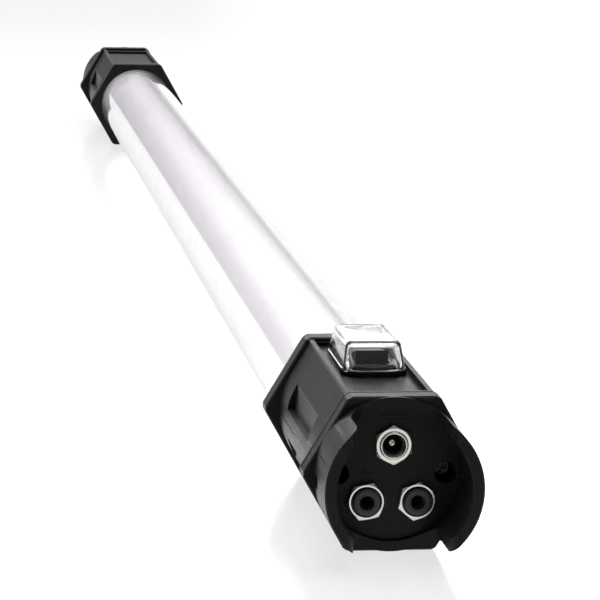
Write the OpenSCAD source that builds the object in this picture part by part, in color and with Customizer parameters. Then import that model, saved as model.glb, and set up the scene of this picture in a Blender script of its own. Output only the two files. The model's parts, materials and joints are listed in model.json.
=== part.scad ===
// LED light tube: a clear tube with a milky core between two hexagonal end caps.
// The near cap (-Y) holds the supply jack, the two signal jacks and the booted rocker switch.
// X is right, Y runs along the tube, Z is up, and z = 0 is the plane the caps lie on.

/* [Whole lamp] */
// Distance between the two collar rims
overall_len = 1000; // [600:10:1300]
// Distance across the flats of a hexagonal flange
across_flats = 49; // [49:0.5:52]

/* [Tube] */
// Outer diameter of the clear tube
tube_od = 42; // [40:0.5:42]
// Wall of the clear tube
tube_wall = 2; // [1.5:0.1:2.2]
// Outer diameter of the milky inner tube
diffuser_od = 36.4; // [36:0.1:36.8]
// Wall of the milky inner tube
diffuser_wall = 1.4; // [1:0.1:1.6]
// Depth of the tube in each cap
tube_seat = 19.2; // [17:0.1:19.2]

/* [End caps] */
// Length of a cap, from the end plate's face to the back of the tube-side flange
cap_len = 92.7; // [92:0.1:100]
// Thickness of the end plate's flange
plate_t = 6; // [5.5:0.1:6.5]
// Thickness of the flange on the tube side
rear_flange_t = 7.5; // [6:0.1:9]
// How far the cap's body lies below the flanges' flats
body_inset = 1.3; // [1:0.1:1.6]
// Depth of the recess in a cap's top flat
recess_depth = 1.3; // [0.8:0.1:1.5]

/* [Collars] */
// Height of a collar's walls
collar_h = 22; // [16:0.5:24]
// Inner radius of a collar
collar_ir = 21.3; // [21.2:0.1:21.5]
// Height of the low lip between the walls
lip_h = 0.8; // [0.5:0.1:3]
// Half the width of the gaps between the walls
gap_half = 14.7; // [14:0.1:15.5]
// Depth of the connector face below the flange's face
face_recess = 1; // [0.6:0.1:1.4]

/* [Connectors] */
// Height of the supply jack above the tube's axis
dc_jack_z = 9.25; // [8.5:0.05:10]
// Distance of each signal jack from the middle plane
signal_jack_x = 8; // [7.8:0.05:8.2]
// Height of the signal jacks relative to the tube's axis
signal_jack_z = -8.65; // [-9:0.05:-8.5]
// Diameter of a signal plug's tip
signal_bore = 3.6; // [3.5:0.05:3.7]
// Distance across the flats of the jack nuts
jack_nut_af = 11; // [10.8:0.1:11.4]

/* [Switch] */
// Distance of the switch's middle behind the end plate's face
switch_y = 56; // [55:0.5:57]
// Distance of the switch from the middle plane
switch_x = 0.7; // [0:0.1:0.8]
// Length of the switch's bezel
bezel_len = 30.6; // [30:0.1:30.8]
// Width of the switch's bezel
bezel_w = 14.6; // [14:0.1:15]
// How far the rocker tilts to each side
rocker_tilt = 10; // [6:1:10]

/* [Lights] */
// Number of light packages on the strip
led_count = 48; // [24:12:48]

/* [Hidden] */
$fn = 64;
eps = 0.01;

// Whole lamp
hex_a = across_flats / 2;               // flat of a flange to the axis
face_y = overall_len / 2 - collar_h;    // end plate's face to the middle of the lamp

// Cap, measured along Y from the end plate's face
gasket_t = 0.4;
housing_y = plate_t + gasket_t;
front_rim_t = 1.3;
body_y = housing_y + front_rim_t;
rear_flange_y = cap_len - rear_flange_t;
body_a = hex_a - body_inset;
corner_clip = 0.55;                     // how much the flanges' corners are rounded off
edge_chamfer = 0.5;
cavity_r = 19;
spigot_r = 20.8;
spigot_y = 14.5;
seat_clearance = 0.1;
tube_gasket_t = 1.5;
tube_y = cap_len - tube_seat;           // the clear tube's end
shoulder_y = tube_y - tube_gasket_t;

// Top recess and side pockets of a cap
rib_x = [12.2, 13.75];                  // inner and outer side of the ribs along the top flat
rib_top = 0.75;                         // height of the ribs above the body's top flat
recess_z = body_a - recess_depth;
recess_y0 = 13;
recess_y1 = rear_flange_y - 1.5;
pocket_x = 20.87;                       // a pocket's floor at the height of the axis
pocket_slope = 0.106;                   // how much the floor leans inwards per unit of height
pocket_z0 = [4, 5.7];                   // near edge of the upper and of the lower pocket
pocket_z1 = 12.5;
pocket_y0 = 25;
pocket_y1 = 69;
seam_y0 = 50;
seam_z = -0.4;
seam_size = 0.35;

// End plate
wall_or = hex_a;
rim_chamfer = 0.5;
gap_base_r = 7;
gap_rim_r = 4.5;
slot_at = [-4.3, -0.9];                 // y and z of the slots through the walls' feet
slot_r = 2.2;
slot_len = 5.6;
screw_x = 16.8;
screw_head_r = 2.9;
screw_head_t = 2.2;
screw_shank_r = 1.4;
screw_recess_r = 3.5;
screw_seat_y = 10;
screw_post_r = 3.6;
screw_post_y = 30;
screw_pilot_r = 1.2;
symbol_h = 0.3;
symbol_w = 0.6;
dc_symbol_z = 17.5;
arrow_at = [8.4, 0.4];

// Jacks
thread_gap = 0.05;
nut_t = 2;
dc_front_y = -1.5;
dc_thread_r = 4.3;
dc_mouth_r = 3.6;
dc_liner_r = 3.05;
dc_liner_y = 0.6;
dc_barrel_back_y = 14;
dc_pin_y = 2;
dc_pin_r = 1.05;
signal_front_y = -2;
signal_nose_r = 4.2;
signal_mouth_r = 2.3;
signal_bore_y = [-1, 14];               // front and back end of the straight bore
signal_thread_r = 4.65;
jack_body_r = 5;
jack_back_y = 20;
lug_len = 5;
lug_at = [[0, 2.6, 0], [-2.4, -1.6, 90], [2.4, -1.6, 90]];   // x, z and turn of a jack's lugs
nut_turn = [-32, -10, -20];             // supply, out and in nut

// Switch, measured in Z from the tube's axis
boot_ledge = 1;
bezel_t = 2;
bezel_z0 = recess_z + boot_ledge;
bezel_z1 = bezel_z0 + bezel_t;
pivot_z = bezel_z1 - 3.5;
case_len = 27;
case_w = 12.8;
case_z0 = 8;
case_floor = 1;
well_len = 24.8;
well_w = 11.2;
rocker_w = 10.6;
rocker_half = 11.2;
trunnion_r = 1.2;
trunnion_gap = 0.06;
contact_pivot_z = pivot_z - 9.4;
contact_tilt = 0.8 * rocker_tilt;
contact_half = 7;
contact_t = 0.6;
lug_z = -1;
lug_half = [2, 0.4];                    // half the width and half the thickness of a switch lug
lug_y = 8;
boot_lip = [21.6, 39.6, 2.2];
boot_base = [20, 33.5];
boot_top = [17.6, 27.5];
boot_h = 10.6;
boot_straight = 3.3;
boot_wall = 1;
boot_edge_r = 2;

// Controller
board = [26, 42, 1.6];
board_y0 = 27;
board_z = -8.6;
board_post_y = [31, 65];
board_post_r = 2.6;
wire_r = 0.7;
wire_y = jack_back_y + lug_len + 0.3;   // where the wires start, just behind the jacks' lugs
pad_z = board_z + board[2] + 0.8;       // middle of a wire that lies on the board

// Light engine
carrier_w = 24;
carrier_h = 9;
carrier_wall = 1.4;
carrier_end_y = tube_y + 3;
strip_w = 12;
strip_t = 0.8;
led_size = [5, 5, 1.6];
clip_len = 6;
clip_play = 0.1;
clip_open_x = 7;                        // half the width of the clip's opening

// ---- helpers ----

// Everything in a cap is drawn from the middle of the end plate's face
module near_cap() translate([0, -face_y, hex_a]) children();
module far_cap() translate([0, face_y, hex_a]) mirror([0, 1, 0]) children();
module on_axis() translate([0, 0, hex_a]) children();

module cyl_y(r, y0, y1) translate([0, y1, 0]) rotate([90, 0, 0]) cylinder(r = r, h = y1 - y0);

module ring_y(r_out, r_in, y0, y1) {
    difference() {
        cyl_y(r_out, y0, y1);
        cyl_y(r_in, y0 - 1, y1 + 1);
    }
}

module hex_y(apothem, y0, y1, turn = 0)
    translate([0, y1, 0]) rotate([90, turn, 0])
        linear_extrude(y1 - y0) circle(r = apothem / cos(30), $fn = 6);

// A profile of radius against y, turned about the tube's axis
module turned_y(points) rotate([-90, 0, 0]) rotate_extrude() polygon(points);

module block(x0, x1, y0, y1, z0, z1) translate([x0, y0, z0]) cube([x1 - x0, y1 - y0, z1 - z0]);

module both_sides() {
    children();
    mirror([1, 0, 0]) children();
}

// A hexagonal flange with its corners rounded off and its outer edges chamfered
module flange(y0, y1) {
    difference() {
        intersection() {
            hex_y(hex_a, y0, y1);
            cyl_y(hex_a / cos(30) - corner_clip, y0 - 1, y1 + 1);
        }
        for (turn = [0 : 60 : 300], y = [y0, y1])
            rotate([0, turn, 0]) translate([0, y, hex_a]) rotate([45, 0, 0])
                cube([hex_a * 2, edge_chamfer * sqrt(2), edge_chamfer * sqrt(2)], center = true);
    }
}

// A pan-head screw along Y, head at the front
module screw_y(head_r, head_t, shank_r, length) {
    difference() {
        turned_y([[0, 0], [head_r - 0.6, 0], [head_r, 0.7], [head_r, head_t], [shank_r, head_t],
                  [shank_r, length - 1], [0.3, length], [0, length]]);
        for (turn = [0, 90])
            rotate([0, turn + 20, 0]) block(-head_r * 0.6, head_r * 0.6, -1, 1.1, -0.35, 0.35);
    }
}

function unit(v) = v / norm(v);

// A point of the smooth curve through b and c, where a and d are their neighbours
function curve_point(a, b, c, d, t) =
    (2 * b + (c - a) * t + (2 * a - 5 * b + 4 * c - d) * t * t + (3 * b - a - 3 * c + d) * t * t * t) / 2;

function smooth(p, steps = 5) = concat(
    [for (i = [0 : len(p) - 2], s = [0 : steps - 1])
        curve_point(p[max(i - 1, 0)], p[i], p[i + 1], p[min(i + 2, len(p) - 1)], s / steps)],
    [p[len(p) - 1]]);

// A round wire of radius r along a path that is nowhere parallel to the side direction
module swept(path, r, side, sides = 8) {
    last = len(path) - 1;
    rings = [for (i = [0 : last])
        let (along = unit(path[min(i + 1, last)] - path[max(i - 1, 0)]),
             u = unit(cross(along, side)),
             v = cross(along, u))
        for (k = [0 : sides - 1]) path[i] + r * (cos(360 * k / sides) * u + sin(360 * k / sides) * v)];
    skin = [for (i = [0 : last - 1], k = [0 : sides - 1], half = [0, 1])
        let (a = i * sides + k, b = i * sides + (k + 1) % sides)
        half == 0 ? [a, b, b + sides] : [a, b + sides, a + sides]];
    polyhedron(rings, concat([[for (k = [sides - 1 : -1 : 0]) k]], skin,
                             [[for (k = [0 : sides - 1]) last * sides + k]]));
}

module wire(points) swept(smooth(points), wire_r, [1, 0, 0]);

// ---- end plates ----

// Outline, in X and Y, of the gap between the two walls of a collar
module gap_outline() {
    base_x = gap_half - gap_base_r;
    base_y = -lip_h - gap_base_r;
    translate([-gap_half, -collar_h - 1]) square([2 * gap_half, collar_h + 1 + base_y]);
    translate([-base_x, base_y - 1]) square([2 * base_x, gap_base_r + 1]);
    for (side = [-1, 1]) {
        translate([side * base_x, base_y]) circle(r = gap_base_r);
        difference() {
            translate([side * (gap_half + gap_rim_r / 2), -collar_h + gap_rim_r / 2 - 1])
                square([gap_rim_r + eps, gap_rim_r + 2], center = true);
            translate([side * (gap_half + gap_rim_r), -collar_h + gap_rim_r]) circle(r = gap_rim_r);
        }
    }
}

// Round-ended slot through the foot of one wall
module wall_slot() translate([0, slot_at[0], slot_at[1]]) {
    straight = slot_len / 2 - slot_r;
    block(collar_ir - 1, wall_or + 1, -straight, straight, -slot_r, slot_r);
    for (y = [-straight, straight]) translate([collar_ir - 1, y, 0]) rotate([0, 90, 0])
        cylinder(r = slot_r, h = wall_or - collar_ir + 2);
}

// The plate, its flange, its collar and its screw wells, before any connector is fitted
module blank_end_plate() {
    difference() {
        union() {
            flange(0, plate_t);
            turned_y([[collar_ir - 0.5, 1], [collar_ir - 0.5, -collar_h + rim_chamfer],
                      [collar_ir + rim_chamfer - 0.5, -collar_h], [wall_or - rim_chamfer, -collar_h],
                      [wall_or, -collar_h + rim_chamfer], [wall_or, 1]]);
            ring_y(spigot_r, spigot_r - 1.8, plate_t - 1, spigot_y);
            both_sides() intersection() {
                translate([screw_x, 0, 0]) cyl_y(screw_recess_r + 1, plate_t - 1, spigot_y);
                cyl_y(spigot_r, 0, spigot_y + 1);
            }
        }
        cyl_y(collar_ir, -collar_h + rim_chamfer, face_recess);
        translate([0, 0, -hex_a - 1]) linear_extrude(2 * hex_a + 2) gap_outline();
        both_sides() {
            wall_slot();
            translate([screw_x, 0, 0]) {
                cyl_y(screw_recess_r, 0, screw_seat_y);
                cyl_y(screw_shank_r + 0.3, screw_seat_y - 1, spigot_y + 1);
            }
        }
    }
}

// Raised symbol for direct current: a bar over three dashes
module dc_symbol() {
    symbol_bar(0, 8, dc_symbol_z + 0.7);
    for (x = [-2.9 : 2.9 : 2.9]) symbol_bar(x, 2.1, dc_symbol_z - 0.7);
}

module symbol_bar(x, length, z)
    block(x - length / 2, x + length / 2, face_recess - symbol_h, face_recess + eps,
          z - symbol_w / 2, z + symbol_w / 2);

// Raised arrow that points up (turn = 0) or down (turn = 180)
module arrow_symbol(x, turn) translate([x, face_recess + eps, arrow_at[1]]) rotate([90, turn, 0])
    linear_extrude(symbol_h + eps) {
        translate([-symbol_w / 2, -1.7]) square([symbol_w, 2]);
        polygon([[-1.3, 0.1], [1.3, 0.1], [0, 1.9]]);
    }

module socket_end_plate() color("#1b1b1d") near_cap() {
    difference() {
        blank_end_plate();
        translate([0, 0, dc_jack_z]) cyl_y(dc_thread_r + thread_gap, 0, plate_t + 1);
        both_sides() translate([signal_jack_x, 0, signal_jack_z])
            cyl_y(signal_thread_r + thread_gap, 0, plate_t + 1);
    }
    dc_symbol();
    arrow_symbol(-arrow_at[0], 180);
    arrow_symbol(arrow_at[0], 0);
}

module far_end_plate() color("#1b1b1d") far_cap() blank_end_plate();

module end_gasket() difference() {
    hex_y(hex_a - 0.5, plate_t, housing_y);
    cyl_y(spigot_r + 0.1, plate_t - 1, housing_y + 1);
}

module near_end_gasket() color("#0c0c0c") near_cap() end_gasket();
module far_end_gasket() color("#0c0c0c") far_cap() end_gasket();

module end_screws() for (x = [-screw_x, screw_x])
    translate([x, screw_seat_y - screw_head_t, 0]) screw_y(screw_head_r, screw_head_t, screw_shank_r, 16);

module near_end_screws() color("#8d8d90") near_cap() end_screws();
module far_end_screws() color("#8d8d90") far_cap() end_screws();

// ---- cap housings ----

// A cap's outside: two flanges, a body whose side corners are rounded, and ribs along its top flat
module housing_outside() {
    intersection() {
        hex_y(hex_a, housing_y, body_y);
        cyl_y(hex_a / cos(30) - corner_clip, housing_y - 1, body_y + 1);
    }
    flange(rear_flange_y, cap_len);
    intersection() {
        hex_y(body_a, body_y - eps, rear_flange_y + eps);
        union() {
            cyl_y(body_a, body_y - 1, rear_flange_y + 1);
            block(-body_a * cos(30), body_a * cos(30), body_y - 1, rear_flange_y + 1, -hex_a, hex_a);
        }
    }
    both_sides()
        block(rib_x[0], rib_x[1], body_y - eps, rear_flange_y + eps, recess_z - 1, body_a + rib_top);
}

function pocket_floor(z) = pocket_x - pocket_slope * z;

// Two pockets in each side, with floors that lean inwards and no wall above or below
module side_pockets() both_sides() for (side = [0, 1])
    mirror([0, 0, side]) translate([0, pocket_y1, 0]) rotate([90, 0, 0])
        linear_extrude(pocket_y1 - pocket_y0)
            polygon([[pocket_floor(pocket_z0[side]), pocket_z0[side]], [hex_a + 1, pocket_z0[side]],
                     [hex_a + 1, pocket_z1], [pocket_floor(pocket_z1), pocket_z1]]);

// The inside of a cap, from the spigot's bore to the tube's seat
module housing_bores() {
    cyl_y(spigot_r + 0.1, housing_y - 1, spigot_y + 0.2);
    cyl_y(cavity_r, spigot_y, shoulder_y);
    cyl_y(cavity_r - 1, shoulder_y - 1, tube_y);
    cyl_y(tube_od / 2 + seat_clearance, shoulder_y, cap_len + 1);
}

// Posts that take the end plate's screws
module screw_posts() both_sides() intersection() {
    translate([screw_x, 0, 0]) ring_y(screw_post_r, screw_pilot_r, spigot_y + 0.3, screw_post_y);
    cyl_y(cavity_r + 1, 0, screw_post_y + 1);
}

module cap_housing() {
    difference() {
        housing_outside();
        housing_bores();
        block(-rib_x[0], rib_x[0], recess_y0, recess_y1, recess_z, hex_a);
        side_pockets();
        both_sides()
            block(body_a - seam_size, hex_a, seam_y0, rear_flange_y, seam_z, seam_z + seam_size);
    }
    screw_posts();
}

module control_housing() color("#232325") near_cap() {
    difference() {
        cap_housing();
        block(switch_x - case_w / 2 - 0.1, switch_x + case_w / 2 + 0.1, switch_y - case_len / 2 - 0.1,
              switch_y + case_len / 2 + 0.1, cavity_r / 2, hex_a);
    }
    for (y = board_post_y) difference() {
        intersection() {
            translate([0, y, -hex_a]) cylinder(r = board_post_r, h = hex_a + board_z);
            cyl_y(cavity_r + 1, 0, shoulder_y);
        }
        translate([0, y, board_z - 7]) cylinder(r = 0.8, h = 8);
    }
}

module far_housing() color("#232325") far_cap() cap_housing();

// ---- jacks ----

// Thin nut with chamfered corners, front face at face_recess - nut_t
module jack_nut(bore_r, turn) {
    front_y = face_recess - nut_t;
    intersection() {
        hex_y(jack_nut_af / 2, front_y, face_recess, turn);
        turned_y([[bore_r, front_y], [jack_nut_af / 2 - 0.1, front_y], [jack_nut_af / 2 + 0.9,
                  front_y + 0.6], [jack_nut_af / 2 + 0.9, face_recess], [bore_r, face_recess]]);
    }
}

module dc_jack_nut() color("#d8d6d2") near_cap()
    translate([0, 0, dc_jack_z]) jack_nut(dc_thread_r + thread_gap, nut_turn[0]);

module dc_jack_barrel() color("#cfcdc9") near_cap() translate([0, 0, dc_jack_z])
    turned_y([[dc_mouth_r, dc_front_y], [dc_thread_r - 0.35, dc_front_y],
              [dc_thread_r, dc_front_y + 0.35], [dc_thread_r, plate_t], [jack_body_r + 0.6, plate_t],
              [jack_body_r + 0.6, plate_t + 1.2], [dc_thread_r, plate_t + 1.2],
              [dc_thread_r, dc_barrel_back_y], [dc_mouth_r, dc_barrel_back_y]]);

module dc_jack_insulator() color("#111113") near_cap() translate([0, 0, dc_jack_z]) difference() {
    turned_y([[dc_liner_r, dc_liner_y], [dc_mouth_r - 0.02, dc_liner_y],
              [dc_mouth_r - 0.02, dc_barrel_back_y], [jack_body_r, dc_barrel_back_y],
              [jack_body_r, jack_back_y], [0, jack_back_y], [0, dc_barrel_back_y - 2],
              [dc_liner_r, dc_barrel_back_y - 2]]);
    cyl_y(dc_pin_r + 0.02, dc_barrel_back_y - 3, jack_back_y - 1);
}

module dc_jack_pin() color("#d9d7d3") near_cap() translate([0, 0, dc_jack_z]) difference() {
    turned_y([[0, dc_pin_y], [dc_pin_r - 0.25, dc_pin_y], [dc_pin_r, dc_pin_y + 0.35],
              [dc_pin_r, jack_back_y - 1], [0, jack_back_y - 1]]);
    rotate([0, -35, 0]) block(-2, 2, dc_pin_y - 1, dc_pin_y + 5, -0.15, 0.15);
}

// The solder lugs that stand out of a jack's back
module jack_lugs() for (at = lug_at) translate([at[0], jack_back_y, at[1]]) rotate([0, at[2], 0])
    difference() {
        block(-1, 1, 0, lug_len, -0.2, 0.2);
        translate([0, lug_len - 1.4, -1]) cylinder(r = 0.5, h = 2);
    }

module dc_jack_terminals() color("#c9c5b8") near_cap() translate([0, 0, dc_jack_z]) jack_lugs();

// A signal jack: a plain nose in front, a thread through the plate and a body behind it
module signal_jack() {
    r = signal_bore / 2;
    turned_y([[r, signal_bore_y[0]], [signal_mouth_r, signal_front_y],
              [signal_nose_r - 0.4, signal_front_y], [signal_nose_r, signal_front_y + 0.4],
              [signal_nose_r, 0], [signal_thread_r, 0], [signal_thread_r, plate_t],
              [jack_body_r, plate_t], [jack_body_r, jack_back_y], [0, jack_back_y],
              [0, signal_bore_y[1]], [r, signal_bore_y[1]]]);
}

module signal_in_jack() color("#1d1d20") near_cap()
    translate([signal_jack_x, 0, signal_jack_z]) signal_jack();
module signal_out_jack() color("#1d1d20") near_cap()
    translate([-signal_jack_x, 0, signal_jack_z]) signal_jack();

module signal_jack_nuts() color("#d8d6d2") near_cap() {
    translate([-signal_jack_x, 0, signal_jack_z]) jack_nut(signal_thread_r + thread_gap, nut_turn[1]);
    translate([signal_jack_x, 0, signal_jack_z]) jack_nut(signal_thread_r + thread_gap, nut_turn[2]);
}

module signal_jack_terminals() color("#c9c5b8") near_cap() both_sides()
    translate([signal_jack_x, 0, signal_jack_z]) jack_lugs();

// ---- rocker switch ----

module at_switch(z) near_cap() translate([switch_x, switch_y, z]) children();

module switch_case() color("#141416") at_switch(0) difference() {
    union() {
        block(-bezel_w / 2, bezel_w / 2, -bezel_len / 2, bezel_len / 2, bezel_z0, bezel_z1);
        block(-case_w / 2, case_w / 2, -case_len / 2, case_len / 2, case_z0, bezel_z0 + eps);
    }
    block(-well_w / 2, well_w / 2, -well_len / 2, well_len / 2, case_z0 + case_floor, bezel_z1 + 1);
    translate([-case_w / 2 - 1, 0, pivot_z]) rotate([0, 90, 0])
        cylinder(r = trunnion_r + trunnion_gap, h = case_w + 2);
    for (y = [-lug_y, 0, lug_y]) switch_lug(y, case_z0 + case_floor + 1);
    for (side = [-1, 1], turn = [0, 1]) rotate([0, 0, 90 * turn])
        translate([0, side * (turn == 0 ? bezel_len : bezel_w) / 2, bezel_z1]) rotate([45, 0, 0])
            cube([bezel_len + 2, 1, 1], center = true);
}

module rocker_profile() polygon([[-rocker_half, 5.4], [0, 4.2], [rocker_half, 5.4],
    [rocker_half, 3], [10.4, -1.5], [4, -4], [-4, -4], [-10.4, -1.5], [-rocker_half, 3]]);

// The rocker rests with its near end up, at one end of its travel
module tilted() at_switch(pivot_z) rotate([-rocker_tilt, 0, 0]) children();

module rocker() color("#101012") tilted() difference() {
    union() {
        translate([-rocker_w / 2, 0, 0]) rotate([90, 0, 90]) linear_extrude(rocker_w) rocker_profile();
        translate([-case_w / 2 + 0.2, 0, 0]) rotate([0, 90, 0])
            cylinder(r = trunnion_r, h = case_w - 0.4);
        translate([0, 0, -6.5]) cylinder(r = 2, h = 3);
    }
    translate([0, 0, -6.6]) cylinder(r = 1.3, h = 7.6);
}

module switch_plunger() color("#d8c9a0") tilted() {
    translate([0, 0, -8.8]) cylinder(r = 1.2, h = 4.2);
}

module switch_spring() color("#b9b9bc") tilted() {
    turns = 6;
    swept([for (a = [0 : 30 : 360 * turns]) [0.95 * cos(a), 0.95 * sin(a), -4.3 + 5 * a / 360 / turns]],
          0.2, [0, 0, 1], 6);
}

module switch_contact() color("#c98f4a") at_switch(contact_pivot_z)
    rotate([contact_tilt, 0, 0])
        block(-1.7, 1.7, -contact_half, contact_half, -contact_t / 2, contact_t / 2);

module switch_lug(y, top_z) block(-lug_half[0], lug_half[0], y - lug_half[1], y + lug_half[1], lug_z, top_z);

// The middle lug carries the contact's pivot, and each outer lug ends in a pad under the contact
module switch_terminals() color("#c9c5b8") at_switch(0) {
    seat_z = case_z0 + case_floor;
    pad_top = contact_pivot_z - contact_half * sin(contact_tilt) - contact_t / 2 - 0.2;
    switch_lug(0, contact_pivot_z - contact_t / 2 - 0.15);
    for (turn = [0, 180]) rotate([0, 0, turn]) {
        switch_lug(lug_y, seat_z + eps);
        block(-lug_half[0], lug_half[0], lug_y - 2.4, lug_y + lug_half[1], seat_z, pad_top);
    }
}

module rounded_slab(size, r) linear_extrude(size[2]) hull() for (x = [-1, 1], y = [-1, 1])
    translate([x * (size[0] / 2 - r), y * (size[1] / 2 - r)]) circle(r = r, $fn = 32);

// A hood that is upright up to straight_h and then drafted, with rounded corners and edges
module hood(base, top, straight_h, height, r) hull() for (x = [-1, 1], y = [-1, 1]) {
    translate([x * (base[0] / 2 - 1.8), y * (base[1] / 2 - 1.8), 0])
        cylinder(r = 1.8, h = straight_h, $fn = 24);
    translate([x * (top[0] / 2 - r), y * (top[1] / 2 - r), height - r]) sphere(r = r, $fn = 24);
}

module switch_boot() color("#e8ecf0", 0.35) at_switch(recess_z) difference() {
    union() {
        rounded_slab(boot_lip, 6.5);
        hood(boot_base, boot_top, boot_straight, boot_h, boot_edge_r);
    }
    inset = 2 * boot_wall;
    translate([0, 0, boot_ledge])
        hood(boot_base - [inset, inset], boot_top - [inset, inset], boot_straight - boot_ledge,
             boot_h - boot_ledge - boot_wall, boot_edge_r / 2);
    block(-case_w / 2 - 0.2, case_w / 2 + 0.2, -case_len / 2 - 0.2, case_len / 2 + 0.2, -1, 2);
}

// ---- controller ----

module controller_board() color("#1e6b3a") near_cap() difference() {
    block(-board[0] / 2, board[0] / 2, board_y0, board_y0 + board[1], board_z, board_z + board[2]);
    for (y = board_post_y) translate([0, y, board_z - 1]) cylinder(r = 1.1, h = board[2] + 2);
}

module controller_chips() color("#161618") near_cap() {
    top = board_z + board[2];
    block(-11, -4, 40, 47, top, top + 1.2);
    block(3, 9, 38, 42, top, top + 1.5);
    block(3, 9, 45, 49, top, top + 1.5);
    block(-3, 3, 53, 57, top, top + 2.4);
}

module supply_capacitor() color("#2a3d7a") near_cap() translate([-8, 0, -4.2 + 0.9])
    cyl_y(3.6, 50, 62);

module board_screws() color("#b5b5b8") near_cap() for (y = board_post_y)
    translate([0, y, board_z + board[2] + 1.2]) rotate([-90, 0, 0]) screw_y(1.9, 1.2, 0.8, 7);

// ---- wires ----

// A wire that leaves a jack's lug straight backwards and then follows the points
module jack_wire(x, z, points) wire(concat([[x, wire_y, z], [x, wire_y + 1.7, z]], points));

module power_wires() color("#a02222") near_cap() {
    jack_wire(lug_at[0][0], dc_jack_z + lug_at[0][1], [[1, 31, 9], [1, 38, 1], [0, 46.5, -1.8]]);
    jack_wire(lug_at[1][0], dc_jack_z + lug_at[1][1], [[-9, 32, 4], [-12, 45, -2], [-12, 52, pad_z]]);
    wire([[1, 57.5, -1.8], [6, 61, -3], [10, 62, pad_z]]);
}

module signal_wires() color("#d8d8d4") near_cap() for (x = [-signal_jack_x, signal_jack_x])
    jack_wire(x, signal_jack_z + lug_at[0][1], [[x * 1.1, 30, -4], [x * 1.2, 35, pad_z]]);

module strip_wires() color("#b8b4ac") near_cap() for (x = [-3, 0, 3])
    wire([[x, 68, pad_z], [x, 70.5, -4], [x, tube_y + 1, 1.9], [x, carrier_end_y + 1, 1.6]]);

// ---- tube and light engine ----

module tube_gasket() ring_y(tube_od / 2, cavity_r + 0.3, shoulder_y, tube_y);
module near_tube_gasket() color("#3a3a3c") near_cap() tube_gasket();
module far_tube_gasket() color("#3a3a3c") far_cap() tube_gasket();

module outer_tube() color("#dfe6ea", 0.3) on_axis()
    ring_y(tube_od / 2, tube_od / 2 - tube_wall, -face_y + tube_y, face_y - tube_y);

module diffuser_tube() color("#f6f5f2") on_axis()
    ring_y(diffuser_od / 2, diffuser_od / 2 - diffuser_wall, -face_y + tube_y + 1,
           face_y - tube_y - 1);

// The carrier's outline: a channel that opens downwards
module carrier_outline() difference() {
    translate([-carrier_w / 2, -carrier_h]) square([carrier_w, carrier_h]);
    translate([-carrier_w / 2 + carrier_wall, -carrier_h - 1])
        square([carrier_w - 2 * carrier_wall, carrier_h + 1 - 2 * carrier_wall]);
}

module led_carrier() color("#b9bcc0") on_axis()
    translate([0, face_y - carrier_end_y, 0]) rotate([90, 0, 0])
        linear_extrude(2 * (face_y - carrier_end_y)) carrier_outline();

module led_strip() color("#f2f2ee") on_axis()
    block(-strip_w / 2, strip_w / 2, -face_y + carrier_end_y, face_y - carrier_end_y, 0, strip_t);

module led_packages() color("#f4e9b0") on_axis() {
    pitch = 2 * (face_y - carrier_end_y - 10) / led_count;
    for (i = [0 : led_count - 1])
        translate([-led_size[0] / 2, (i + 0.5 - led_count / 2) * pitch - led_size[1] / 2, strip_t])
            cube(led_size);
}

// A plug in the inner tube with a slot for the carrier, open in the middle for the wires
module carrier_clip() difference() {
    cyl_y(diffuser_od / 2 - diffuser_wall - clip_play, carrier_end_y + 2, carrier_end_y + 2 + clip_len);
    block(-carrier_w / 2 - clip_play, carrier_w / 2 + clip_play, 0, cap_len, -carrier_h - clip_play, 3);
    block(-clip_open_x, clip_open_x, 0, cap_len, -hex_a, 9);
}

module near_carrier_clip() color("#e6e6e3") near_cap() carrier_clip();
module far_carrier_clip() color("#e6e6e3") far_cap() carrier_clip();

socket_end_plate();
near_end_gasket();
near_end_screws();
control_housing();
dc_jack_barrel();
dc_jack_insulator();
dc_jack_pin();
dc_jack_nut();
dc_jack_terminals();
signal_in_jack();
signal_out_jack();
signal_jack_nuts();
signal_jack_terminals();
switch_case();
rocker();
switch_plunger();
switch_spring();
switch_contact();
switch_terminals();
switch_boot();
controller_board();
controller_chips();
supply_capacitor();
board_screws();
power_wires();
signal_wires();
strip_wires();
near_tube_gasket();
outer_tube();
diffuser_tube();
led_carrier();
led_strip();
led_packages();
near_carrier_clip();
far_carrier_clip();
far_tube_gasket();
far_housing();
far_end_gasket();
far_end_plate();
far_end_screws();
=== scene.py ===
"""Looks of the LED light tube: materials, detail meshes, camera, floor and studio light."""
import json
import math

import bmesh
import bpy
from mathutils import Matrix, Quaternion, Vector


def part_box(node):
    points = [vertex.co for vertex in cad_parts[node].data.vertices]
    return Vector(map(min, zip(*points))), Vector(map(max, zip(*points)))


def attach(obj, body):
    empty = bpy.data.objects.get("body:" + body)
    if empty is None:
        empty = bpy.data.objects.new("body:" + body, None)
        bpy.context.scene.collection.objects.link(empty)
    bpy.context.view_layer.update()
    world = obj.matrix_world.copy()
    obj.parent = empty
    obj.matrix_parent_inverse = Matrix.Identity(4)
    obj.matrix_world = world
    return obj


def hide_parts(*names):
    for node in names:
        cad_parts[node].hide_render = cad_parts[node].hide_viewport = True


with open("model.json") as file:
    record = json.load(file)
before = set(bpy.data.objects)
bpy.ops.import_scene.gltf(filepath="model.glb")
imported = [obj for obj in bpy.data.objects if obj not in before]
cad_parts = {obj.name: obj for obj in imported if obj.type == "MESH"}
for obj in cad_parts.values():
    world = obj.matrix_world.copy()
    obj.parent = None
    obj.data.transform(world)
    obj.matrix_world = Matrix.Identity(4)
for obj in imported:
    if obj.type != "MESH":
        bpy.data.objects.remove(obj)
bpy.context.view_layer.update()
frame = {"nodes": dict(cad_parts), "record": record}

MM = 0.001
NODES = frame["nodes"]
BODY_OF = {node: body for body, nodes in frame["record"]["behaviour"]["bodies"].items() for node in nodes}
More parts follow.
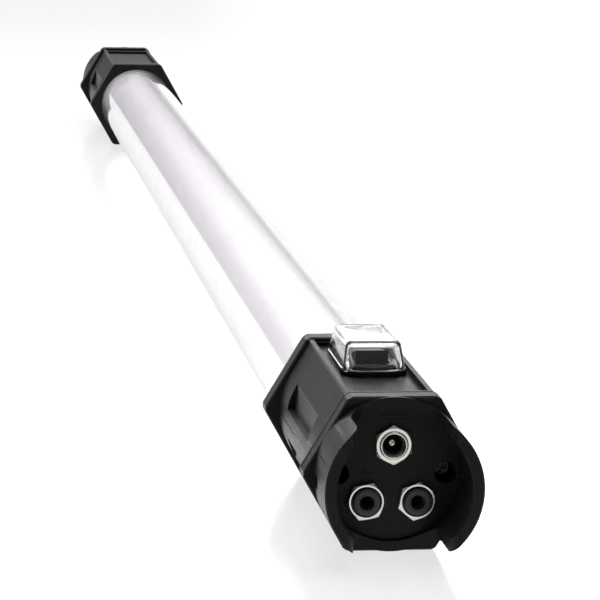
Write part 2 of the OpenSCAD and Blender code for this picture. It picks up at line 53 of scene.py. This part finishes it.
SLOT_OF = {part["node"]: part["material_slot"] for part in frame["record"]["subparts"]}


# ---- node helpers ----

class NodeTree:
    """A node tree with short ways to add and link nodes."""

    def __init__(self, tree):
        self.tree = tree

    def add(self, kind, inputs=None, **settings):
        """A new node; an input's value is a number, a colour or another node's output."""
        node = self.tree.nodes.new(kind)
        for name, value in settings.items():
            setattr(node, name, value)
        for name, value in (inputs or {}).items():
            if isinstance(value, bpy.types.NodeSocket):
                self.tree.links.new(value, node.inputs[name])
            else:
                node.inputs[name].default_value = value
        return node

    def spread(self, value, low, high, from_low=0.3, from_high=0.7):
        """Maps a value between from_low and from_high to a value between low and high."""
        node = self.add("ShaderNodeMapRange", {"Value": value, "From Min": from_low, "From Max": from_high,
                                               "To Min": low, "To Max": high})
        return node.outputs["Result"]

    def combine(self, operation, a, b):
        """The result of a sum or a product of two values."""
        return self.add("ShaderNodeMath", {0: a, 1: b}, operation=operation).outputs["Value"]


class Shader(NodeTree):
    """A new material, whose textures lie in the object's own coordinates."""

    def __init__(self, name):
        self.material = bpy.data.materials.new(name)
        self.material.use_nodes = True
        super().__init__(self.material.node_tree)
        self.surface = self.tree.nodes["Principled BSDF"]
        self.coords = self.add("ShaderNodeTexCoord").outputs["Object"]

    def set(self, **sockets):
        """Sets numbers and colours of the surface that are the same all over."""
        for name, value in sockets.items():
            self.surface.inputs[name.replace("_", " ")].default_value = value

    def link(self, output, socket):
        """Feeds a socket of the surface."""
        self.tree.links.new(output, self.surface.inputs[socket])

    def noise(self, scale, detail=2.0, rough=0.5):
        """Noise from 0 to 1, with a scale in waves per metre."""
        node = self.add("ShaderNodeTexNoise", {"Scale": scale, "Detail": detail, "Roughness": rough,
                                               "Vector": self.coords})
        return node.outputs["Fac"]

    def mix(self, factor, a, b):
        """A colour between two, each of them a colour or another node's output."""
        node = self.add("ShaderNodeMix", {"Factor": factor}, data_type="RGBA")
        for name, value in (("A", a), ("B", b)):
            if isinstance(value, bpy.types.NodeSocket):
                self.tree.links.new(value, node.inputs[name])
            else:
                node.inputs[name].default_value = (*value, 1)
        return node.outputs["Result"]

    def bump(self, height, distance):
        """A normal bent by a height from 0 to 1, as deep as the distance."""
        return self.add("ShaderNodeBump", {"Height": height, "Distance": distance,
                                           "Strength": 1.0}).outputs["Normal"]


def scaled(colour, factor):
    """A darker or lighter colour."""
    return [part * factor for part in colour]


# ---- finishes ----

def textured_plastic(name, base, rough, grain=0.45 * MM, depth=0.03 * MM, specular=0.35):
    """Moulded plastic with a fine spark-eroded grain, whose peaks are painted lighter as painted glints."""
    s = Shader(name)
    grains = s.noise(1 / grain, 3.0, 0.6)
    tone = s.mix(s.spread(s.noise(40), 0, 1), scaled(base, 0.85), scaled(base, 1.2))
    # Painted glints: the grain's peaks get a colour 3.5 times lighter than the base, in place of the
    # highlights they catch.
    s.link(s.mix(s.spread(grains, 0, 1, 0.58, 0.75), tone, scaled(base, 3.5)), "Base Color")
    s.link(s.spread(grains, rough + 0.12, rough - 0.1), "Roughness")
    s.link(s.bump(grains, depth), "Normal")
    s.set(Specular_IOR_Level=specular)
    return s.material


def smooth_plastic(name, base, rough, specular=0.5):
    """Polished moulding, with faint clouds in its colour and gloss."""
    s = Shader(name)
    clouds = s.noise(120, 3.0)
    s.link(s.mix(s.spread(clouds, 0, 1), scaled(base, 0.9), scaled(base, 1.1)), "Base Color")
    s.link(s.spread(clouds, rough - 0.04, rough + 0.06), "Roughness")
    s.link(s.bump(s.noise(900), 0.004 * MM), "Normal")
    s.set(Specular_IOR_Level=specular)
    return s.material


def plated_metal(name, base, rough):
    """Metal with fine wear in its colour and gloss."""
    s = Shader(name)
    wear = s.noise(700, 4.0, 0.65)
    s.link(s.mix(s.spread(wear, 0, 1), scaled(base, 0.82), base), "Base Color")
    s.link(s.spread(wear, rough, rough + 0.15), "Roughness")
    s.link(s.bump(s.noise(2500), 0.006 * MM), "Normal")
    s.set(Metallic=1.0)
    return s.material


def clear_plastic(name, tint, rough, ior, clarity, density, absorbs):
    """Clear plastic that greys where it is thick; a clarity below 1 makes it slightly milky."""
    s = Shader(name)
    s.link(s.mix(s.spread(s.noise(60), 0, 1), scaled(tint, 0.99), tint), "Base Color")
    s.link(s.bump(s.noise(90), 0.02 * MM), "Normal")
    s.set(Roughness=rough, IOR=ior, Transmission_Weight=clarity)
    volume = s.add("ShaderNodeVolumeAbsorption", {"Color": (*absorbs, 1), "Density": density})
    s.tree.links.new(volume.outputs["Volume"], s.tree.nodes["Material Output"].inputs["Volume"])
    return s.material


def milky_plastic(name, base, glow):
    """Opal plastic; its glow makes up for the light that the clear tube around it loses."""
    s = Shader(name)
    s.link(s.mix(s.spread(s.noise(25, 3.0), 0, 1), scaled(base, 0.985), base), "Base Color")
    s.link(s.bump(s.noise(600), 0.005 * MM), "Normal")
    s.set(Roughness=0.45, Emission_Color=(1, 0.975, 1, 1), Emission_Strength=glow)
    return s.material


def make_finishes():
    """A material for each slot of the record."""
    makers = {
        "cap_plastic": (textured_plastic, (0.0095, 0.0092, 0.0092), 0.36, 0.6 * MM, 0.1 * MM, 0.12),
        "seal_rubber": (textured_plastic, (0.008, 0.008, 0.008), 0.7),
        "screw_steel": (plated_metal, (0.08, 0.08, 0.085), 0.28),
        "nickel": (plated_metal, (0.86, 0.83, 0.78), 0.16),
        "jack_plastic": (smooth_plastic, (0.028, 0.028, 0.031), 0.42),
        "tinned_brass": (plated_metal, (0.75, 0.72, 0.62), 0.35),
        "contact_brass": (plated_metal, (0.72, 0.5, 0.22), 0.3),
        "switch_plastic": (smooth_plastic, (0.005, 0.005, 0.0055), 0.35, 0.3),
        "switch_nylon": (smooth_plastic, (0.7, 0.66, 0.52), 0.45),
        "clear_vinyl": (clear_plastic, (0.99, 0.985, 0.99), 0.02, 1.43, 0.995, 12.0, (0.6, 0.52, 0.54)),
        "board_green": (smooth_plastic, (0.03, 0.16, 0.07), 0.4),
        "chip_black": (smooth_plastic, (0.02, 0.02, 0.02), 0.5),
        "capacitor_sleeve": (smooth_plastic, (0.03, 0.05, 0.2), 0.35),
        "wire_red": (smooth_plastic, (0.5, 0.03, 0.03), 0.45),
        "wire_white": (smooth_plastic, (0.75, 0.75, 0.72), 0.45),
        "clear_tube": (clear_plastic, (0.985, 0.98, 0.99), 0.05, 1.35, 1.0, 32.0, (0.55, 0.46, 0.58)),
        "milky_tube": (milky_plastic, (0.8, 0.79, 0.8), 0.7),
        "carrier_aluminium": (plated_metal, (0.72, 0.73, 0.75), 0.4),
        "strip_white": (smooth_plastic, (0.88, 0.88, 0.85), 0.4),
        "led_yellow": (smooth_plastic, (0.9, 0.82, 0.45), 0.3),
        "clip_white": (smooth_plastic, (0.85, 0.85, 0.83), 0.4),
    }
    return {slot: maker(slot, *values) for slot, (maker, *values) in makers.items()}


finishes = make_finishes()


def dress(mesh, slot):
    """Gives a mesh the finish of a slot as its only material."""
    mesh.materials.clear()
    mesh.materials.append(finishes[slot])


def dress_cad_nodes():
    """Gives every CAD node the finish of its slot."""
    for node, slot in SLOT_OF.items():
        dress(NODES[node].data, slot)


# ---- mesh helpers ----

def show(name, data):
    """A new object in the scene."""
    thing = bpy.data.objects.new(name, data)
    bpy.context.scene.collection.objects.link(thing)
    return thing


def stand_in(name, mesh, node):
    """Adds a piece that is shown instead of a CAD node, with its body and its slot."""
    dress(mesh, SLOT_OF[node])
    piece = show(name, mesh)
    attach(piece, BODY_OF[node])
    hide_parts(node)


def bevelled(mesh, **settings):
    """A new mesh, with the edges of the old one bevelled by weight."""
    holder = show("holder", mesh)
    modifier = holder.modifiers.new("bevel", "BEVEL")
    modifier.limit_method = "WEIGHT"
    for setting, value in settings.items():
        setattr(modifier, setting, value)
    final = bpy.data.meshes.new_from_object(holder.evaluated_get(bpy.context.evaluated_depsgraph_get()))
    bpy.data.objects.remove(holder)
    return final


def mark_sharp(work, angle):
    """Smooth faces, with the edges sharp that bend by more than an angle in degrees."""
    for face in work.faces:
        face.smooth = True
    for edge in work.edges:
        edge.smooth = edge.calc_face_angle(0) < math.radians(angle)


def rounded_copy(node, width, segments=2, leave=lambda point: False):
    """Stands for a CAD node with the same shape, with its sharp edges rounded off except where told."""
    merge_distance, flat_angle, sharp_angle = 0.002 * MM, 0.6, 28
    work = bmesh.new()
    work.from_mesh(NODES[node].data)
    bmesh.ops.remove_doubles(work, verts=work.verts, dist=merge_distance)
    bmesh.ops.dissolve_limit(work, angle_limit=math.radians(flat_angle), verts=work.verts, edges=work.edges,
                             delimit=set())
    mark_sharp(work, sharp_angle)
    weight = work.edges.layers.float.new("bevel_weight_edge")
    for edge in work.edges:
        if not edge.smooth and not any(leave(vert.co) for vert in edge.verts):
            edge[weight] = 1
    clean = bpy.data.meshes.new(node + "_round")
    work.to_mesh(clean)
    work.free()
    stand_in(node + "_finished", bevelled(clean, width=width, segments=segments, harden_normals=True,
                                          use_clamp_overlap=True, miter_outer="MITER_ARC"), node)


def skin(work, rings, closed=False):
    """Joins rings of equal length with faces; a closed skin joins the last ring to the first."""
    loops = [[work.verts.new(point) for point in ring] for ring in rings]
    pairs = list(zip(loops, loops[1:])) + ([(loops[-1], loops[0])] if closed else [])
    for first, second in pairs:
        for i in range(len(first)):
            j = (i + 1) % len(first)
            work.faces.new((first[i], first[j], second[j], second[i]))
    return loops


def capped_skin(rings):
    """A new solid of rings, closed by a face at each end."""
    work = bmesh.new()
    loops = skin(work, rings)
    work.faces.new(loops[0])
    work.faces.new(loops[-1])
    return work


def closed_skin(rings):
    """A new solid of rings, which goes round like a torus."""
    work = bmesh.new()
    skin(work, rings, closed=True)
    return work


def finished(name, work, sharp_angle=35):
    """A smooth-shaded mesh that keeps its sharp edges."""
    bmesh.ops.recalc_face_normals(work, faces=work.faces)
    mark_sharp(work, sharp_angle)
    mesh = bpy.data.meshes.new(name)
    work.to_mesh(mesh)
    work.free()
    return mesh


def join_works(name, works):
    """One mesh from several solids."""
    total = bmesh.new()
    for i, work in enumerate(works):
        part = finished(f"{name}_{i}", work, 25)
        total.from_mesh(part)
        bpy.data.meshes.remove(part)
    mesh = bpy.data.meshes.new(name)
    total.to_mesh(mesh)
    total.free()
    return mesh


def turned_ring(centre, y, radius, count=96):
    """A ring about an axis along Y; radius may be a function of the angle."""
    reach = radius if callable(radius) else (lambda angle: radius)
    angles = [2 * math.pi * i / count for i in range(count)]
    return [(centre[0] + reach(a) * math.cos(a), y, centre[1] + reach(a) * math.sin(a)) for a in angles]


def turned(centre, profile):
    """Rings of a turned piece about an axis along Y, from (radius, y) pairs."""
    return [turned_ring(centre, y, radius) for radius, y in profile]


def arc(centre, radius, start, end, steps):
    """Points along an arc in a plane, from one angle to another in degrees."""
    angles = [math.radians(start + (end - start) * i / steps) for i in range(steps + 1)]
    return [(centre[0] + radius * math.cos(a), centre[1] + radius * math.sin(a)) for a in angles]


def thread(radius, depth, start, end, pitch=0.5 * MM):
    """A thread's outline as (radius, y) pairs, from one end to the other."""
    turns = max(1, round(abs(end - start) / pitch))
    step = (end - start) / turns
    points = []
    for i in range(turns):
        y = start + i * step
        points += [(radius, y + 0.15 * step), (radius - depth, y + 0.4 * step),
                   (radius - depth, y + 0.6 * step), (radius, y + 0.85 * step)]
    return points


# ---- jacks ----

NUT_FLATS = 11 * MM


def axis_of(node):
    """x and z of the middle of a node's box."""
    low, high = (Vector(corner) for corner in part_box(node))
    middle = (low + high) / 2
    return middle.x, middle.z


def ends_of(node):
    """y of a node's front and of its back."""
    low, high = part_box(node)
    return low[1], high[1]


def hexagon(apothem, corner_angle, limit):
    """Radius of a hexagon at an angle, cut off by a circle."""
    def reach(angle):
        off_flat = (angle - math.radians(corner_angle + 30) + math.pi / 6) % (math.pi / 3) - math.pi / 6
        return min(apothem / math.cos(off_flat), limit)
    return reach


def nut(centre, front, back, bore, corner_angle):
    """A thin hexagon nut with a chamfered front, a domed edge and a threaded bore."""
    apothem = NUT_FLATS / 2
    corner = apothem / math.cos(math.pi / 6)
    chamfer, chamfer_steps, corner_cut, doming, count = 0.55 * MM, 6, 0.12 * MM, 1.2, 144
    levels = [back, back - 0.3 * MM]
    levels += [front + chamfer * (1 - i / chamfer_steps) for i in range(chamfer_steps + 1)]
    rings = []
    for y in levels:
        drop = max(0.0, 1 - (y - front) / chamfer)
        limit = corner - (corner - apothem + corner_cut) * drop ** doming
        rings.append(turned_ring(centre, y, hexagon(apothem, corner_angle, limit), count))
    inside = [(apothem - 0.3 * MM, front), (bore + 0.22 * MM, front), (bore + 0.05 * MM, front + 0.12 * MM)]
    inside += thread(bore + 0.12 * MM, 0.12 * MM, front + 0.15 * MM, back)
    inside += [(bore + 0.1 * MM, back)]
    rings += [turned_ring(centre, y, radius, count) for radius, y in inside]
    return closed_skin(rings)


def make_nuts():
    """The supply jack's nut and the pair on the signal jacks, each turned by its own angle."""
    supply_bore, supply_turn, signal_bore = 4.35 * MM, 92, 4.7 * MM
    signal_turns = {"signal_out_jack": 10, "signal_in_jack": 20}
    ends = ends_of("dc_jack_nut")
    supply = nut(axis_of("dc_jack_nut"), *ends, supply_bore, supply_turn)
    stand_in("supply_nut", join_works("supply_nut", [supply]), "dc_jack_nut")
    pair = [nut(axis_of(node), *ends, signal_bore, turn) for node, turn in signal_turns.items()]
    stand_in("signal_nuts", join_works("signal_nuts", pair), "signal_jack_nuts")


def make_barrel():
    """The supply jack's threaded barrel, with a rolled front edge and a collar behind the plate."""
    front, back = ends_of("dc_jack_barrel")
    outer, inner = 4.3 * MM, 3.6 * MM
    groove, collar = inner + 0.12 * MM, outer + 1.3 * MM
    collar_front = front + 7.5 * MM
    collar_back = collar_front + 1.2 * MM
    edge = (outer - inner) / 2
    profile = arc(((outer + inner) / 2, front + edge), edge, 0, -180, 8)
    profile += [(inner, front + 1.2 * MM), (groove, front + 1.3 * MM), (groove, front + 1.6 * MM),
                (inner, front + 1.7 * MM), (inner, back), (outer, back), (outer, collar_back),
                (collar, collar_back), (collar, collar_front), (outer, collar_front)]
    profile += thread(outer, 0.14 * MM, collar_front, front + edge + 0.1 * MM)
    rings = turned(axis_of("dc_jack_barrel"), profile)
    stand_in("supply_barrel", finished("supply_barrel", closed_skin(rings)), "dc_jack_barrel")


def make_pin():
    """The supply jack's split pin: two domed halves with a slot between them."""
    front, back = ends_of("dc_jack_pin")
    x, z = axis_of("dc_jack_pin")
    radius, gap, dome, tip, steps = 1.05 * MM, 0.32 * MM, 0.3 * MM, 0.1, 24
    slot_turn = math.radians(115)
    dome_angles = [math.radians(angle) for angle in (75, 60, 45, 30, 15)]
    levels = [(tip, front)] + [(math.cos(a), front + dome * (1 - math.sin(a))) for a in dome_angles]
    levels += [(1, front + dome), (1, back)]
    halves = []
    for turn in (slot_turn, slot_turn + math.pi):
        rings = []
        for share, y in levels:
            ring = []
            for i in range(steps + 1):
                a = math.radians(-90 + 180 * i / steps)
                u, v = max(gap / 2, radius * share * math.cos(a)), radius * share * math.sin(a)
                ring.append((x + u * math.cos(turn) - v * math.sin(turn), y,
                             z + u * math.sin(turn) + v * math.cos(turn)))
            rings.append(ring)
        halves.append(capped_skin(rings))
    stand_in("supply_pin", join_works("supply_pin", halves), "dc_jack_pin")


def make_signal_jack(node):
    """A signal jack: rounded nose with a ring groove, countersunk mouth, blind bore and a stepped body."""
    low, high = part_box(node)
    front, back = ends_of(node)
    body, thread_r, nose = (high[0] - low[0]) / 2, 4.65 * MM, 4.2 * MM
    mouth, bore, near_axis = 2.3 * MM, 1.8 * MM, 0.02 * MM
    chamfer, edge, lip, groove_depth = 0.4 * MM, 0.45 * MM, 0.15 * MM, 0.08 * MM
    nose_back, body_front, bore_front, bore_back = (front + depth * MM for depth in (2, 8, 1, 16))
    profile = [(near_axis, back), (body - chamfer, back), (body, back - chamfer), (body, body_front),
               (thread_r, body_front)]
    profile += thread(thread_r, 0.1 * MM, body_front, nose_back)
    profile += [(thread_r - 0.05 * MM, nose_back), (nose, nose_back)]
    profile += arc((nose - edge, front + edge), edge, 0, -90, 5)
    profile += [(3.0 * MM, front), (2.9 * MM, front + groove_depth), (2.75 * MM, front + groove_depth),
                (2.65 * MM, front)]
    profile += arc((mouth + lip, front + lip), lip, -90, -180, 3)
    profile += [(bore, bore_front), (bore, bore_back), (near_axis, bore_back)]
    name = node + "_finished"
    stand_in(name, finished(name, capped_skin(turned(axis_of(node), profile))), node)


# ---- switch ----

def rounded_loop(centre, size, radius, z):
    """A rounded rectangle at height z, as a ring of points."""
    steps = 8
    half_x, half_y = size[0] / 2 - radius, size[1] / 2 - radius
    loop = []
    for quarter, (sx, sy) in enumerate(((1, 1), (-1, 1), (-1, -1), (1, -1))):
        loop += [(centre.x + x, centre.y + y, z)
                 for x, y in arc((sx * half_x, sy * half_y), radius, 90 * quarter, 90 * (quarter + 1), steps)]
    return loop


def mixed(a, b, t):
    """Values between those of a and those of b."""
    return [x + (y - x) * t for x, y in zip(a, b)]


def make_boot():
    """The clear boot: a thick rounded lip, a drafted hood with soft edges, and its hollow inside."""
    low, high = (Vector(corner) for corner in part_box("switch_boot"))
    centre = (low + high) / 2
    floor, top = low.z, high.z
    lip, base = (high.x - low.x, high.y - low.y), (20 * MM, 33.5 * MM)
    crown, hole = (17.6 * MM, 27.5 * MM), (13.2 * MM, 27.4 * MM)
    lip_height, lip_radius, bead = 2.2 * MM, 6.5 * MM, 0.7 * MM
    wall, edge, base_radius, hole_radius, least_radius = 1.2 * MM, 2.0 * MM, 2.6 * MM, 0.6 * MM, 0.6 * MM
    ledge = floor + 1 * MM
    draft_from = floor + 3.3 * MM

    def loop(size, pull, radius, z):
        """A ring whose sides are pulled in from a size."""
        return rounded_loop(centre, [side - 2 * pull for side in size], radius, z)

    def drafted(z):
        """The hood's outer size at a height above its straight foot."""
        return mixed(base, crown, min(1, (z - draft_from) / (top - draft_from)))

    def hood(inset, z_from, z_top, radius, soft):
        """Rings of a hood with soft upper edges, each side moved in by inset."""
        shoulder = z_top - soft
        rings = [loop(base, inset, radius, z) for z in (z_from, draft_from)]
        for share in (0.25, 0.5, 0.75):
            z = draft_from + (shoulder - draft_from) * share
            rings.append(loop(drafted(z), inset, radius, z))
        for a in (math.radians(angle) for angle in range(0, 91, 15)):
            pull = soft * (1 - math.cos(a))
            rings.append(loop(drafted(shoulder), inset + pull, max(radius - pull, least_radius),
                              shoulder + soft * math.sin(a)))
        return rings

    outer = [loop(lip, 0, lip_radius, floor)]
    for a in (math.radians(angle) for angle in range(0, 91, 18)):
        pull = bead * (1 - math.cos(a))
        outer.append(loop(lip, pull, lip_radius - pull, floor + lip_height - bead + bead * math.sin(a)))
    outer += hood(0, floor + lip_height - 0.1 * MM, top, base_radius, edge)
    inner = [loop(hole, 0, hole_radius, z) for z in (floor, ledge)]
    inner += hood(wall, ledge, top - wall, base_radius - wall + 0.3 * MM, edge * 0.7)
    work = capped_skin(list(reversed(outer)) + inner)
    stand_in("clear_boot", finished("clear_boot", work, 50), "switch_boot")


def make_cad_copies():
    """Stands for the CAD nodes whose edges show, with the same shapes and softer edges."""
    axis_z = axis_of("outer_tube")[1]
    face_radius, face_y = 20.8 * MM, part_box("far_end_plate")[1][1] - 21.5 * MM

    def on_connector_face(point):
        """Whether a point is in the recessed round face of an end cap, or on something inside the cap."""
        return math.hypot(point.x, point.z - axis_z) < face_radius and abs(point.y) < face_y

    for node in ("socket_end_plate", "far_end_plate", "control_housing", "far_housing"):
        rounded_copy(node, 0.18 * MM, leave=on_connector_face)
    rounded_copy("rocker", 0.45 * MM, segments=3)
    rounded_copy("switch_case", 0.25 * MM)
    for node in ("near_end_screws", "far_end_screws", "dc_jack_insulator"):
        rounded_copy(node, 0.1 * MM)


# ---- stage ----

def make_floor():
    """White acrylic: it gives off a white that fades towards the foreground, has a painted shadow beneath the
    tube where its glow is lowered, and mirrors the object faintly.
    """
    s = Shader("floor")
    s.link(s.mix(s.spread(s.noise(3), 0, 1), (0.19, 0.19, 0.19), (0.2, 0.2, 0.2)), "Base Color")
    place = s.add("ShaderNodeSeparateXYZ", {"Vector": s.coords}).outputs
    # Painted shadow beneath the tube: the glow is lowered between these edges and ends, in place of the
    # tube's contact shade.
    left_edge, right_edge, near_end, far_end = (-0.008, 0.002), (0.018, 0.03), (-0.45, -0.36), (0.38, 0.44)
    painted_shadow = s.spread(place["X"], 0, -0.7, *left_edge)
    for fade in (s.spread(place["X"], 1, 0, *right_edge), s.spread(place["Y"], 0, 1, *near_end),
                 s.spread(place["Y"], 1, 0, *far_end)):
        painted_shadow = s.combine("MULTIPLY", painted_shadow, fade)
    foreground, full = -1.3, -0.55
    glow = s.spread(place["Y"], 0.3, 0.71, foreground, full)
    s.link(s.combine("ADD", glow, painted_shadow), "Emission Strength")
    s.set(Roughness=0.17, Specular_IOR_Level=0.5, Emission_Color=(1, 1, 1, 1))
    half, clearance = 15.0, 0.2 * MM
    mesh = bpy.data.meshes.new("floor")
    mesh.from_pydata([(-half, -half, 0), (half, -half, 0), (half, half, 0), (-half, half, 0)], [],
                     [(0, 1, 2, 3)])
    mesh.materials.append(s.material)
    floor = show("floor", mesh)
    floor.location.z = -clearance


def add_area_light(name, place, target, size, power):
    """A softbox that faces a point, with its size in metres and its power in watts."""
    light = bpy.data.lights.new(name, "AREA")
    light.shape = "RECTANGLE"
    light.size, light.size_y = size
    light.energy = power
    holder = show(name, light)
    holder.location = place
    holder.rotation_euler = (Vector(target) - Vector(place)).to_track_quat("-Z", "Y").to_euler()


def make_world():
    """A white surround, brighter behind the tube and above, with a bright low patch at the back right."""
    world = bpy.data.worlds.new("studio")
    bpy.context.scene.world = world
    world.use_nodes = True
    nodes = NodeTree(world.node_tree)
    background = nodes.tree.nodes["Background"]
    background.inputs["Color"].default_value = (1, 1, 1, 1)
    direction = nodes.add("ShaderNodeTexCoord").outputs["Generated"]
    axes = nodes.add("ShaderNodeSeparateXYZ", {"Vector": direction}).outputs
    low_right = nodes.combine("MULTIPLY", nodes.spread(axes["X"], 0, 1, 0.11, 0.15),
                              nodes.spread(axes["Z"], 1.8, 0, 0.05, 0.11))
    height = nodes.combine("ADD", nodes.spread(axes["Z"], 0.3, 1, 0.12, 0.21), low_right)
    strength = nodes.combine("MULTIPLY", nodes.spread(axes["Y"], 0.2, 0.56, -0.5, 0.6), height)
    nodes.tree.links.new(strength, background.inputs["Strength"])


def make_lights():
    """Softboxes above, behind and to the left; the last two face the near cap."""
    near_cap = (0, -0.43, 0.03)
    add_area_light("top_softbox", (0.1, 0.2, 1.5), (0, 0, 0), (1.6, 1.6), 32)
    add_area_light("back_softbox", (-0.1, 0.95, 0.5), near_cap, (1.2, 0.3), 4)
    add_area_light("left_softbox", (-1.3, -0.3, 0.4), near_cap, (0.9, 0.6), 3.5)


def make_camera():
    """A long lens, low and to the left of the socket end, looking along the tube."""
    camera = bpy.data.cameras.new("camera")
    camera.sensor_width = 36
    camera.lens = 168
    camera.clip_end = 60
    holder = show("camera", camera)
    place = Vector((-0.15714, -1.29763, 0.24621))
    aim = Vector((0.0078, -0.23197, 0.02908))
    roll = Quaternion((0, 0, 1), math.radians(1.586))
    holder.location = place
    holder.rotation_mode = "QUATERNION"
    holder.rotation_quaternion = (aim - place).to_track_quat("-Z", "Y") @ roll
    bpy.context.scene.camera = holder


make_camera()
make_floor()
make_world()
make_lights()
dress_cad_nodes()
make_cad_copies()
make_nuts()
make_barrel()
make_pin()
make_signal_jack("signal_out_jack")
make_signal_jack("signal_in_jack")
make_boot()
bpy.context.scene.view_settings.view_transform = "Standard"
bpy.context.scene.view_settings.look = "None"
